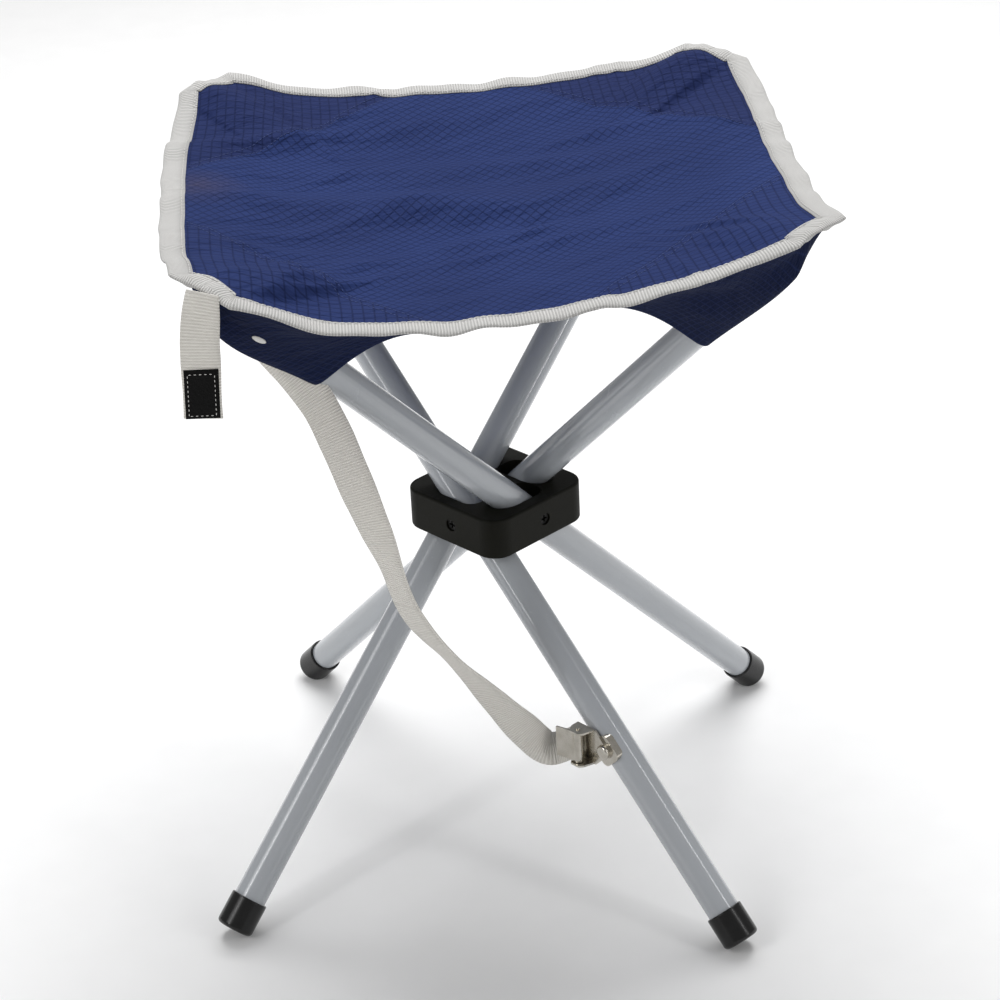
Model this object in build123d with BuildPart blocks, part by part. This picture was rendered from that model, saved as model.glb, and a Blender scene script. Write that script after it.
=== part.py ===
"""Folding four-leg camp stool with a cloth seat, in millimetres.

+Z is up and the stool stands on Z = 0, with its hub on the Z axis. Each leg is one straight tube that
goes through the hub and is pinned there, so a leg's foot is opposite its top. Leg 1's top is at the front
left, and the others follow clockwise as seen from above: 2 back left, 3 back right, 4 front right.
"""

import os
from math import cos, radians, sin, tan

from build123d import *

# Legs
LEG_ANGLES = {1: 225, 2: 135, 3: 45, 4: 315}   # direction that each leg's top leans to, from +X
LEAN = 45.0              # from the vertical, with the stool open
TUBE_RADIUS = 9.5
TUBE_WALL = 1.2
PIN_HEIGHT = 211.7       # all four pins, above the floor
PIN_OFFSET = 21.0        # from the hub's centre to a leg's own plane
PIN_SHIFT = -2.3         # of the pin within that plane, away from the leg's top
TOP_LENGTH = 295.0       # pin to the end of the top plug
FOOT_LENGTH = 291.0      # pin to the end of the foot cap

# Caps and plugs
CAP_RADIUS = 11.0
CAP_LENGTH = 20.0
CAP_BASE = 3.5
CAP_SOLE_ROUNDING = 2.5
CAP_RIM_ROUNDING = 0.8
PLUG_HEAD = 3.0
PLUG_STEM = 14.0
PLUG_ROUNDING = 2.0

# Hub
HUB_SIDE = 78.0
HUB_HEIGHT = 25.0
HUB_CORNER = 13.0
HUB_EDGE = 1.5
SLOT_CLEARANCE = 0.6
FOLDED_CLEARANCE = 0.4   # at the folded end of the slot, whose corners are rounded
SLOT_ROUNDING = 8.0

# Pivot screws
SHANK_RADIUS = 2.5
SHANK_GAP = 0.05         # running clearance of a tube on its screw
HEAD_RADIUS = 3.4
HEAD_HEIGHT = 3.0
HEAD_DEPTH = 4.2         # from the hub's face to the seat of the head
COUNTERBORE_RADIUS = 3.7
DRIVE_LENGTH = 4.4       # of each arm of the cross drive
DRIVE_WIDTH = 1.3
DRIVE_DEPTH = 1.6
SCREW_END = 5.0          # from the hub's centre plane to the screw's end

# Seat cloth, as four plain panels that meet at its diagonals
SEAT_CORNER_RADIUS = 247.0   # where two seat edges would meet
SEAT_TURN = 5.3          # of the seat's corners from the directions that the legs lean to
CORNER_CUT = 22.0        # depth of the cut corner, along the diagonal
SEAT_CENTRE_HEIGHT = 402.0
SEAT_MIDDLE_HEIGHT = 404.0   # middle of each edge
SEAT_CORNER_HEIGHT = 440.0
SEAT_THICKNESS = 2.0
PANEL_GAP = 0.4
BINDING_WIDTH = 6.0
BINDING_THICKNESS = 3.6

# Corner pockets under the seat, one round each leg's top
POCKET_REACH = 142.0     # along each seat edge from the corner
POCKET_MOUTH = 198.0     # from the pin, along the leg
POCKET_END = 300.0
POCKET_DEPTH = 13.5      # of the fold line below the leg's own line
POCKET_THICKNESS = 1.4
POCKET_DROP = 6.0        # of the pocket's outer points below the seat's top face
POCKET_INSET = 9.6       # of the outer points from the seat's edges, towards its centre

# Carry strap: plain round stand-in with the section of 20 mm webbing, and its route
STRAP_RADIUS = 2.9
BEND_SHARE = 0.45        # of a route's shorter leg that a rounded bend may use
STRAP_ROUTE = [
    (-163, -118, 404), (-142, -120, 382), (-117, -121, 360), (-98, -123, 330), (-80, -126, 290),
    (-62, -126, 248), (-48, -121, 208), (-29, -114, 174), (-7, -105, 142), (12, -95, 112),
    (24, -86, 92), (33, -82, 90), (40.1, -89.1, 98.0),
]

# Strap buckle on leg 2
BUCKLE_PLACE = -158.0    # from the pin, along the leg
SADDLE_LENGTH = 17.0
SADDLE_WIDTH = 15.0
SADDLE_DEPTH = 4.5
SADDLE_CORNER = 4.0
PLATE = 1.2
FRAME_LENGTH = 21.0      # from the rivet to the frame's outer end
FRAME_START = 6.5
FRAME_HALF_WIDTH = 11.5
FRAME_NECK = 5.0         # half width of the frame at its rivet
CHEEK_HEIGHT = 9.0
CHEEK_SLOPE = 2.0
RIVET_HEAD_RADIUS = 4.4
RIVET_HEAD_HEIGHT = 2.2
RIVET_HEAD_ROUNDING = 1.6
RIVET_SHANK_RADIUS = 2.4
RIVET_DEPTH = 4.0        # below the tube's face
LEVER_PIN_RADIUS = 1.25
LEVER_PIN_END = 0.8      # beyond each cheek
LEVER_PIN_PLACE = 15.5
LEVER_PIN_HEIGHT = 7.2
LEVER_HALF_WIDTH = 9.8
LEVER_LENGTH = 13.5
LEVER_PLATE = 1.2
LEVER_RISE = 4.4         # of the lever's lip above its pin
LEVER_SAG = 2.8          # height of the lever's middle above its pin
BARREL_RADIUS = 2.9

# Closure strap with its hook patch, hanging from the front left corner
CLOSURE_TOP = (-137.0, -186.5, 429.0)
CLOSURE_LENGTH = 66.0
WEBBING_WIDTH = 20.0
WEBBING_THICKNESS = 1.4
PATCH_WIDTH = 17.6
PATCH_LENGTH = 27.0
PATCH_THICKNESS = 1.6
PATCH_CORNER = 0.8

Z_UP = Vector(0, 0, 1)


def level(angle):
    """Level unit vector at an angle from +X, in degrees."""
    return Vector(cos(radians(angle)), sin(radians(angle)), 0)


def leg_frame(number):
    """A leg's pin, the level direction of its top, and its hinge line, which points out of the hub."""
    top = level(LEG_ANGLES[number])
    out = level(LEG_ANGLES[number] + 90)
    pin = out * PIN_OFFSET + top * PIN_SHIFT + Z_UP * PIN_HEIGHT
    return pin, top, out


def leg_direction(number, lean=LEAN):
    """Unit vector up a leg."""
    top = level(LEG_ANGLES[number])
    return top * sin(radians(lean)) + Z_UP * cos(radians(lean))


def leg_plane(number, along=0.0, lean=LEAN):
    """Plane across a leg at a distance from its pin, with X along the hinge line."""
    pin, _, out = leg_frame(number)
    return Plane(origin=pin, x_dir=out, z_dir=leg_direction(number, lean)).offset(along)


def seat_corner(number):
    """Point where two seat edges would meet, above a leg's top."""
    return level(LEG_ANGLES[number] + SEAT_TURN) * SEAT_CORNER_RADIUS + Z_UP * SEAT_CORNER_HEIGHT


def plane_through(first, second, third):
    """Plane through three points, with X from the first to the second and its normal upwards."""
    normal = (second - first).cross(third - first)
    if normal.Z < 0:
        normal = normal * -1
    return Plane(origin=first, x_dir=second - first, z_dir=normal)


def write(part, name):
    part.label = name
    export_step(part, f"parts/{name}.step")


def fold_slot(number):
    """Room in the hub for one leg from upright to leaning: a fan with rounded corners."""
    pin, top, out = leg_frame(number)
    half = TUBE_RADIUS + FOLDED_CLEARANCE
    tall = HUB_HEIGHT / 2 + 1
    with BuildPart() as slot:
        with BuildSketch(Plane(origin=pin, x_dir=top, z_dir=top.cross(Z_UP))):
            with BuildLine():
                Polyline((-half, tall), (tall, tall), (half, half), (half, -tall), (-tall, -tall),
                         (-half, -half), close=True)
            make_face()
        extrude(amount=half, both=True)
        fillet(slot.edges().filter_by(Axis.Z), SLOT_ROUNDING)
    return slot.part


def make_hub():
    slots = [fold_slot(number) for number in LEG_ANGLES]
    with BuildPart() as hub_block:
        with BuildSketch(Plane(origin=(0, 0, PIN_HEIGHT - HUB_HEIGHT / 2), x_dir=level(45), z_dir=(0, 0, 1))):
            RectangleRounded(HUB_SIDE, HUB_SIDE, HUB_CORNER)
        extrude(amount=HUB_HEIGHT)
        ends = hub_block.faces().filter_by(Axis.Z)
        fillet(ends.edges(), HUB_EDGE)
        add(slots, mode=Mode.SUBTRACT)
        for number in LEG_ANGLES:
            with BuildSketch(leg_plane(number, -HUB_SIDE / 2)):
                Circle(TUBE_RADIUS + SLOT_CLEARANCE)
            extrude(amount=HUB_SIDE, mode=Mode.SUBTRACT)
        for number in LEG_ANGLES:
            pin, _, out = leg_frame(number)
            face = pin + out * (HUB_SIDE / 2 - PIN_OFFSET)
            with BuildSketch(Plane(origin=face, z_dir=-out)):
                Circle(SHANK_RADIUS)
            extrude(amount=HUB_SIDE / 2 - SCREW_END, mode=Mode.SUBTRACT)
            with BuildSketch(Plane(origin=face, z_dir=-out)):
                Circle(COUNTERBORE_RADIUS)
            extrude(amount=HEAD_DEPTH, mode=Mode.SUBTRACT)
    write(hub_block.part, "hub_block")


def make_pivot_screws():
    with BuildPart() as pivot_screws:
        for number in LEG_ANGLES:
            pin, _, out = leg_frame(number)
            seat = pin + out * (HUB_SIDE / 2 - PIN_OFFSET - HEAD_DEPTH)
            with BuildSketch(Plane(origin=seat, z_dir=-out)):
                Circle(SHANK_RADIUS)
            extrude(amount=HUB_SIDE / 2 - HEAD_DEPTH - SCREW_END)
            with BuildSketch(Plane(origin=seat, z_dir=out)):
                Circle(HEAD_RADIUS)
            extrude(amount=HEAD_HEIGHT)
            head_plane = Plane(origin=seat + out * HEAD_HEIGHT, x_dir=Z_UP, z_dir=-out)
            with BuildSketch(head_plane):
                Rectangle(DRIVE_LENGTH, DRIVE_WIDTH)
                Rectangle(DRIVE_WIDTH, DRIVE_LENGTH)
            extrude(amount=DRIVE_DEPTH, mode=Mode.SUBTRACT)
    write(pivot_screws.part, "pivot_screws")


def make_leg(number):
    """Tube, foot cap and top plug of one leg."""
    pin, _, out = leg_frame(number)
    tube_foot = FOOT_LENGTH - CAP_BASE
    tube_top = TOP_LENGTH - PLUG_HEAD
    along = Axis(pin, leg_direction(number))

    with BuildPart() as leg_tube:
        with BuildSketch(leg_plane(number, -tube_foot)):
            Circle(TUBE_RADIUS)
            Circle(TUBE_RADIUS - TUBE_WALL, mode=Mode.SUBTRACT)
        extrude(amount=tube_foot + tube_top)
        with BuildSketch(Plane(origin=pin, z_dir=out)):
            Circle(SHANK_RADIUS + SHANK_GAP)
        extrude(amount=TUBE_RADIUS + 1, both=True, mode=Mode.SUBTRACT)
        if number == 2:
            rivet = pin + leg_direction(number) * BUCKLE_PLACE
            with BuildSketch(Plane(origin=rivet, z_dir=out)):
                Circle(RIVET_SHANK_RADIUS)
            extrude(amount=TUBE_RADIUS + 1, mode=Mode.SUBTRACT)
    write(leg_tube.part, f"leg_tube_{number}")

    with BuildPart() as foot_cap:
        with BuildSketch(leg_plane(number, -FOOT_LENGTH)):
            Circle(CAP_RADIUS)
        extrude(amount=CAP_LENGTH)
        fillet(foot_cap.edges().sort_by(along)[0], CAP_SOLE_ROUNDING)
        fillet(foot_cap.edges().sort_by(along)[-1], CAP_RIM_ROUNDING)
        with BuildSketch(leg_plane(number, -tube_foot)):
            Circle(TUBE_RADIUS)
        extrude(amount=CAP_LENGTH, mode=Mode.SUBTRACT)
        split(bisect_by=Plane.XY, keep=Keep.TOP)
    write(foot_cap.part, f"foot_cap_{number}")

    with BuildPart() as top_plug:
        with BuildSketch(leg_plane(number, tube_top)):
            Circle(TUBE_RADIUS)
        extrude(amount=PLUG_HEAD)
        fillet(top_plug.edges().sort_by(along)[-1], PLUG_ROUNDING)
        with BuildSketch(leg_plane(number, tube_top - PLUG_STEM)):
            Circle(TUBE_RADIUS - TUBE_WALL)
        extrude(amount=PLUG_STEM)
    write(top_plug.part, f"top_plug_{number}")


def make_pocket(number):
    """Two plain plates from a fold line below a leg's top out to the seat's edges."""
    pin, top, out = leg_frame(number)
    up = leg_direction(number)
    below = top * cos(radians(LEAN)) - Z_UP * sin(radians(LEAN))
    mouth = pin + up * POCKET_MOUTH + below * POCKET_DEPTH
    end = pin + up * POCKET_END + below * POCKET_DEPTH
    corner = seat_corner(number)
    slope = (SEAT_CORNER_HEIGHT - SEAT_MIDDLE_HEIGHT) / (SEAT_CORNER_RADIUS * cos(radians(45)))
    inset = level(LEG_ANGLES[number] + SEAT_TURN) * -POCKET_INSET
    before, after = (number - 2) % 4 + 1, number % 4 + 1
    with BuildPart() as corner_pocket:
        for neighbour in (before, after):
            edge = (seat_corner(neighbour) - corner).normalized()
            level_edge = Vector(edge.X, edge.Y, 0).normalized()
            outer = corner + level_edge * POCKET_REACH - Z_UP * (slope * POCKET_REACH + POCKET_DROP) + inset
            plane = plane_through(mouth, end, outer)
            points = [plane.to_local_coords(point) for point in (mouth, end, outer)]
            with BuildSketch(plane):
                with BuildLine():
                    Polyline(*[(point.X, point.Y) for point in points], close=True)
                make_face()
            extrude(amount=POCKET_THICKNESS, dir=below)
    write(corner_pocket.part, f"corner_pocket_{number}")


def half_panel(number, neighbour):
    """Plane and outlines of the half panel from a leg's corner to the middle of the edge to its neighbour.

    The outlines run from the diagonal to the middle of the edge: round the cloth and round the binding.
    """
    centre = Z_UP * SEAT_CENTRE_HEIGHT
    corner = seat_corner(number)
    middle = (corner + seat_corner(neighbour)) * 0.5
    middle = Vector(middle.X, middle.Y, SEAT_MIDDLE_HEIGHT)
    shift = Vector(middle.X, middle.Y, 0).normalized() * (PANEL_GAP / 2 ** 0.5)
    to_corner = (corner - centre) * (1 / SEAT_CORNER_RADIUS)
    to_middle = (middle - centre) * (1 / Vector(middle.X, middle.Y, 0).length)
    along = (middle - corner) * (1 / Vector(middle.X - corner.X, middle.Y - corner.Y, 0).length)
    outlines = []
    for inset in (BINDING_WIDTH, 0):
        cut_middle = corner - to_corner * (CORNER_CUT + inset)
        inset_corner = corner - to_corner * inset * 2 ** 0.5
        cut_end = inset_corner + along * (CORNER_CUT * 2 ** 0.5 - inset * (2 - 2 ** 0.5))
        outlines.append([point + shift for point in (cut_middle, cut_end, middle - to_middle * inset)])
    plane = plane_through(centre + shift, corner + shift, middle + shift)
    return plane, outlines[0], outlines[1]


def plate(plane, points, thickness, lift=0.0):
    """Flat plate of a thickness below points that lie in one sloping plane."""
    flat = [plane.to_local_coords(point) for point in points]
    with BuildPart() as flat_plate:
        with BuildSketch(Plane(origin=plane.origin + Z_UP * lift, x_dir=plane.x_dir, z_dir=plane.z_dir)):
            with BuildLine():
                Polyline(*[(point.X, point.Y) for point in flat], close=True)
            make_face()
        extrude(amount=thickness, dir=(0, 0, -1))
    return flat_plate.part


def make_seat(name, first, second):
    """Cloth panel and edge binding between two legs' corners."""
    lift = (BINDING_THICKNESS - SEAT_THICKNESS) / 2
    cloth_plates = []
    binding_plates = []
    for number, neighbour in ((first, second), (second, first)):
        plane, inner, outer = half_panel(number, neighbour)
        cloth_plates.append(plate(plane, [plane.origin] + inner, SEAT_THICKNESS))
        for start in (0, 1):
            strip = [inner[start], outer[start], outer[start + 1], inner[start + 1]]
            binding_plates.append(plate(plane, strip, BINDING_THICKNESS, lift))

    with BuildPart() as seat_panel:
        add(cloth_plates)
    write(seat_panel.part, f"seat_panel_{name}")

    with BuildPart() as seat_binding:
        add(binding_plates)
    write(seat_binding.part, f"seat_binding_{name}")


def make_carry_strap():
    points = [Vector(*point) for point in STRAP_ROUTE]
    radii = []
    for before, point, after in zip(points, points[1:], points[2:]):
        turn = (point - before).get_angle(after - point)
        shorter = min((point - before).length, (after - point).length)
        radii.append(BEND_SHARE * shorter / tan(radians(turn / 2)))
    print("carry strap radii:", ", ".join(f"{radius:.1f}" for radius in radii))
    with BuildPart() as carry_strap:
        with BuildLine() as route:
            FilletPolyline(*points, radius=radii)
        with BuildSketch(Plane(origin=points[0], z_dir=points[1] - points[0])):
            Circle(STRAP_RADIUS)
        sweep()
    print(f"carry strap length: {route.wires()[0].length:.1f}, swept {carry_strap.part.volume:.0f} mm3")
    write(carry_strap.part, "carry_strap")


def buckle_plane(along=0.0, out_by=0.0):
    """Plane on leg 2's side at the rivet, with Z out of the leg and X towards the buckle's free end."""
    pin, top, out = leg_frame(2)
    origin = pin + leg_direction(2) * BUCKLE_PLACE + out * (TUBE_RADIUS + out_by) + top * along
    return Plane(origin=origin, x_dir=top, z_dir=out)


def buckle_side_plane(shift=0.0):
    """Plane along the buckle, across its lever pin: X towards its free end and Y out of the leg."""
    _, top, out = leg_frame(2)
    origin = buckle_plane().origin + Z_UP * shift
    return Plane(origin=origin, x_dir=top, z_dir=top.cross(out))


def make_buckle():
    """Saddle, frame, rivet, lever and lever pin of the strap buckle."""
    pin, top, out = leg_frame(2)
    with BuildPart() as strap_bracket:
        saddle_plane = Plane(origin=buckle_plane().origin, x_dir=leg_direction(2), z_dir=out)
        with BuildSketch(saddle_plane.offset(-SADDLE_DEPTH)):
            RectangleRounded(SADDLE_LENGTH, SADDLE_WIDTH, SADDLE_CORNER)
        extrude(amount=SADDLE_DEPTH + PLATE)
        with BuildSketch(leg_plane(2, BUCKLE_PLACE - SADDLE_LENGTH)):
            Circle(TUBE_RADIUS)
        extrude(amount=2 * SADDLE_LENGTH, mode=Mode.SUBTRACT)
        with BuildSketch(saddle_plane):
            Circle(RIVET_SHANK_RADIUS)
        extrude(amount=SADDLE_DEPTH, both=True, mode=Mode.SUBTRACT)
    write(strap_bracket.part, "strap_bracket")

    with BuildPart() as buckle_frame:
        with BuildSketch(buckle_plane(0, PLATE)):
            with BuildLine():
                Polyline((0, -FRAME_NECK), (FRAME_START, -FRAME_HALF_WIDTH),
                         (FRAME_LENGTH, -FRAME_HALF_WIDTH), (FRAME_LENGTH, FRAME_HALF_WIDTH),
                         (FRAME_START, FRAME_HALF_WIDTH), (0, FRAME_NECK))
                ThreePointArc((0, FRAME_NECK), (-FRAME_NECK, 0), (0, -FRAME_NECK))
            make_face()
            Circle(RIVET_SHANK_RADIUS, mode=Mode.SUBTRACT)
        extrude(amount=PLATE)
        base, crest = 2 * PLATE, CHEEK_HEIGHT + 2 * PLATE
        for shift in (-FRAME_HALF_WIDTH, FRAME_HALF_WIDTH - PLATE):
            with BuildSketch(buckle_side_plane(shift)):
                with BuildLine():
                    Polyline((FRAME_START + PLATE, base), (FRAME_START + PLATE + CHEEK_SLOPE, CHEEK_HEIGHT),
                             (FRAME_START + PLATE + 2 * CHEEK_SLOPE, crest),
                             (FRAME_LENGTH - 1.5 * CHEEK_SLOPE, crest),
                             (FRAME_LENGTH, CHEEK_HEIGHT - CHEEK_SLOPE), (FRAME_LENGTH, base), close=True)
                make_face()
                with Locations((LEVER_PIN_PLACE, LEVER_PIN_HEIGHT)):
                    Circle(LEVER_PIN_RADIUS, mode=Mode.SUBTRACT)
            extrude(amount=PLATE)
    write(buckle_frame.part, "buckle_frame")

    with BuildPart() as bracket_rivet:
        with BuildSketch(buckle_plane(0, -RIVET_DEPTH)):
            Circle(RIVET_SHANK_RADIUS)
        extrude(amount=RIVET_DEPTH + 2 * PLATE)
        with BuildSketch(buckle_plane(0, 2 * PLATE)):
            Circle(RIVET_HEAD_RADIUS)
        extrude(amount=RIVET_HEAD_HEIGHT)
        fillet(bracket_rivet.edges().sort_by(Axis(pin, out))[-1], RIVET_HEAD_ROUNDING)
    write(bracket_rivet.part, "bracket_rivet")

    with BuildPart() as lever_pin:
        with BuildSketch(buckle_side_plane(-FRAME_HALF_WIDTH - LEVER_PIN_END)):
            with Locations((LEVER_PIN_PLACE, LEVER_PIN_HEIGHT)):
                Circle(LEVER_PIN_RADIUS)
        extrude(amount=2 * (FRAME_HALF_WIDTH + LEVER_PIN_END))
    write(lever_pin.part, "lever_pin")

    with BuildPart() as buckle_lever:
        with BuildSketch(buckle_side_plane(-LEVER_HALF_WIDTH)):
            with Locations((LEVER_PIN_PLACE, LEVER_PIN_HEIGHT)):
                Circle(BARREL_RADIUS)
            with BuildLine():
                x, z = LEVER_PIN_PLACE, LEVER_PIN_HEIGHT
                middle, tip = x + LEVER_LENGTH / 2, x + LEVER_LENGTH
                crown, underside = (x, z + BARREL_RADIUS), (x, z - LEVER_PLATE / 2)
                lip, lip_under = (tip, z + LEVER_RISE), (tip, z + LEVER_RISE - LEVER_PLATE)
                Spline(crown, (middle, z + LEVER_SAG), lip)
                Line(lip, lip_under)
                Spline(lip_under, (middle, z + LEVER_SAG - LEVER_PLATE), underside)
                Line(underside, crown)
            make_face()
            with Locations((LEVER_PIN_PLACE, LEVER_PIN_HEIGHT)):
                Circle(LEVER_PIN_RADIUS + SHANK_GAP, mode=Mode.SUBTRACT)
        extrude(amount=2 * LEVER_HALF_WIDTH)
    write(buckle_lever.part, "buckle_lever")


def make_closure_strap():
    x, y, z = CLOSURE_TOP
    with BuildPart() as closure_strap:
        with BuildSketch(Plane(origin=(x, y, z), x_dir=(1, 0, 0), z_dir=(0, 0, -1))):
            Rectangle(WEBBING_WIDTH, WEBBING_THICKNESS)
        extrude(amount=CLOSURE_LENGTH)
    write(closure_strap.part, "closure_strap")

    face = y - WEBBING_THICKNESS / 2
    centre = (x, face, z - CLOSURE_LENGTH + PATCH_LENGTH / 2)
    with BuildPart() as hook_patch:
        with BuildSketch(Plane(origin=centre, x_dir=(1, 0, 0), z_dir=(0, -1, 0))):
            RectangleRounded(PATCH_WIDTH, PATCH_LENGTH, PATCH_CORNER)
        extrude(amount=PATCH_THICKNESS)
    write(hook_patch.part, "hook_patch")


os.makedirs("parts", exist_ok=True)
make_hub()
make_pivot_screws()
for leg_number in LEG_ANGLES:
    make_leg(leg_number)
    make_pocket(leg_number)
make_seat("front", 1, 4)
make_seat("right", 4, 3)
make_seat("back", 3, 2)
make_seat("left", 2, 1)
make_carry_strap()
make_buckle()
make_closure_strap()
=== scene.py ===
"""Looks of the folding camp stool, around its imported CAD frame. Metres, +Z up, front towards -Y."""

import math

import bmesh
import bpy
import numpy as np
from mathutils import Matrix, Vector


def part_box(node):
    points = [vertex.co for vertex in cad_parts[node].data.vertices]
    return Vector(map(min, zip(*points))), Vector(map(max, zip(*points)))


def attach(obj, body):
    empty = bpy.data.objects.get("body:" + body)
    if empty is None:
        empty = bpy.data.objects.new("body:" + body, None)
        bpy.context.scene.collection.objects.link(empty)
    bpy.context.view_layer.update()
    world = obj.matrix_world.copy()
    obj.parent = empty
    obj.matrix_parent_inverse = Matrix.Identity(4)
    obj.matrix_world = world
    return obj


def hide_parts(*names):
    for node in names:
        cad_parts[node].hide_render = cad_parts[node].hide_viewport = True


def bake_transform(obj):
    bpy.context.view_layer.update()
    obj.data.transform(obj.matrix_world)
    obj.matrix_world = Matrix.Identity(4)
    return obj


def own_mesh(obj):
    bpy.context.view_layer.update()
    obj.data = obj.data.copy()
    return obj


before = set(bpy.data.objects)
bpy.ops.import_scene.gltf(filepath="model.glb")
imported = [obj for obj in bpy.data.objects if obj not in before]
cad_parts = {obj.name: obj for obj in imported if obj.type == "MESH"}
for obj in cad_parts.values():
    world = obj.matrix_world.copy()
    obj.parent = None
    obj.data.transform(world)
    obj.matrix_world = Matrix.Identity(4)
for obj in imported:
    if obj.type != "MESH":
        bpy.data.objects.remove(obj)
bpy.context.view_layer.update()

MM = 0.001

# ---------------------------------------------------------------- driving sizes, as in the frame

LEG_TOPS = {1: 225.0, 2: 135.0, 3: 45.0, 4: 315.0}   # direction each leg's top leans to, degrees from +X
TUBE_RADIUS = 9.5 * MM
PIN_HEIGHT = 211.7 * MM
PIN_OFFSET = 21.0 * MM
PIN_SHIFT = -2.3 * MM
HALF = 174.6 * MM                       # seat's centre to the middle of an edge
TURN = math.radians(5.3)                # of the seat from the legs' directions
CUT = 22.0 * MM                         # depth of each cut corner
TAPE_WIDTH = 12.0 * MM
CLOTH = 0.7 * MM
WEBBING_WIDTH = 20.0 * MM
WEBBING_THICKNESS = 1.3 * MM

UP = np.array([0.0, 0.0, 1.0])
RIGHT = np.array([math.cos(TURN), math.sin(TURN), 0.0])     # along the seat's front edge
BACK = np.array([-math.sin(TURN), math.cos(TURN), 0.0])


def level(degrees):
    """Level direction at an angle from +X."""
    return np.array([math.cos(math.radians(degrees)), math.sin(math.radians(degrees)), 0.0])


def unit(v):
    """Vectors scaled to length 1."""
    v = np.asarray(v, float)
    return v / np.maximum(np.linalg.norm(v, axis=-1, keepdims=True), 1e-12)


def leg(number):
    """A leg's pin, level direction of its top, hinge line out of the hub, direction up it and below it."""
    top, out = level(LEG_TOPS[number]), level(LEG_TOPS[number] + 90)
    pin = out * PIN_OFFSET + top * PIN_SHIFT + UP * PIN_HEIGHT
    return pin, top, out, (top + UP) / math.sqrt(2), (top - UP) / math.sqrt(2)


# ---------------------------------------------------------------- seat surface
# A seat point is (a, b), each from -1 to 1: a along RIGHT and b along BACK.

CORNER_SIGNS = {1: (-1, -1), 2: (-1, 1), 3: (1, 1), 4: (1, -1)}
STATIONS = (-1, -0.82, -0.6, -0.3, 0, 0.3, 0.6, 0.82, 1)              # along an edge, towards RIGHT or BACK
EDGE_HEIGHT = {
    "front": (432, 425, 409.5, 402, 402, 408, 419, 433, 438),
    "right": (438, 434, 427, 421, 418, 417, 418, 424, 427),
    "back": (428, 426, 416, 410.5, 409, 411, 415.5, 423, 427),
    "left": (432, 430, 426, 421, 419, 417.5, 418.5, 426, 428),
}
EDGE_BULGE = {                                                        # out from a straight edge
    "front": (2, 2, 2, 1, 0, 0, 0, 0, 1),
    "right": (3, 0, -3, -1, 0, 2, 3, 1, 0),
    "back": (0, 0, 0, 0, 0, 0, 0, 0, 0),
    "left": (-6, -7, -2, 0, 0, 0, -5, -9, -9),
}
CENTRE_LIFT = 3 * MM
TENT_TOP = 433.6 * MM                                   # of the cloth over a tube's end
TENT_RADIUS = 199.5 * MM                                # from the hub's axis along the leg
TENT_FALL = {1: 0.35, 2: 0.30, 3: 0.35, 4: 0.30}        # slope beyond the tube's end
TENT_INWARD, TENT_SIDEWAYS = 0.42, 0.62                 # slopes towards the hub and to each side
TENT_TIP = 4 * MM                                       # rounding of the tent's top
SHOULDER, SHOULDER_FALL = 18 * MM, 1.6                  # the tent drops away beyond this width
TENT_BLEND = 2.5 * MM                                   # softness where a tent meets the seat
PUCKER_START = 0.8                                      # share of the way to the rim
QUADRANTS = {"front": (0, -1, 1, 4), "right": (1, 0, 4, 3), "back": (0, 1, 3, 2), "left": (-1, 0, 2, 1)}

random = np.random.default_rng(11)


def along_edge(values, t):
    """Smooth curve through an edge's values, in metres."""
    places, values = np.array(STATIONS, float), np.array(values) * MM
    slopes = np.gradient(values, places)
    t = np.clip(t, -1, 1)
    k = np.clip(np.searchsorted(places, t) - 1, 0, len(places) - 2)
    gap = places[k + 1] - places[k]
    s = (t - places[k]) / gap
    return ((1 + 2 * s) * (1 - s) ** 2 * values[k] + s ** 2 * (3 - 2 * s) * values[k + 1]
            + s * (1 - s) ** 2 * gap * slopes[k] + s ** 2 * (s - 1) * gap * slopes[k + 1])


def ridge_lines():
    """Soft creases, broad folds and corner creases: centre, direction, half length, half width and height."""
    lines = []
    for _ in range(30):
        angle = math.radians(random.normal(24, 9))
        centre = random.uniform(-0.13, 0.13, 2)
        lines.append((centre, angle, random.uniform(0.04, 0.12), random.uniform(0.004, 0.010),
                      random.uniform(0.5, 1.7) * MM * random.choice([1, 1, -0.6])))
    for _ in range(12):
        angle = math.radians(random.normal(14, 8))
        centre = random.uniform((-0.10, -0.10), (0.10, 0.11))
        lines.append((centre, angle, random.uniform(0.06, 0.12), random.uniform(0.011, 0.019),
                      random.uniform(2.0, 3.4) * MM * random.choice([1, -0.7])))
    for number in LEG_TOPS:
        for _ in range(7):
            spread = random.normal(0, 24)
            away = level(LEG_TOPS[number] + TURN * 57.3 + spread * 0.35)[:2]
            angle = math.radians(LEG_TOPS[number] + spread)
            lines.append((away * random.uniform(0.13, 0.175), angle, random.uniform(0.022, 0.05),
                          random.uniform(0.0022, 0.0045), random.uniform(0.5, 1.4) * MM))
    return lines


RIDGES = ridge_lines()


def creases(x, y):
    """Height that the creases add at a place on the seat."""
    z = np.zeros_like(x)
    for (cx, cy), angle, length, width, height in RIDGES:
        along = (x - cx) * math.cos(angle) + (y - cy) * math.sin(angle)
        across = -(x - cx) * math.sin(angle) + (y - cy) * math.cos(angle)
        across = across + 0.006 * np.sin(along * 28 + cx * 90)
        z += height * np.exp(-(across / width) ** 2 - (along / length) ** 4)
    return z


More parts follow.
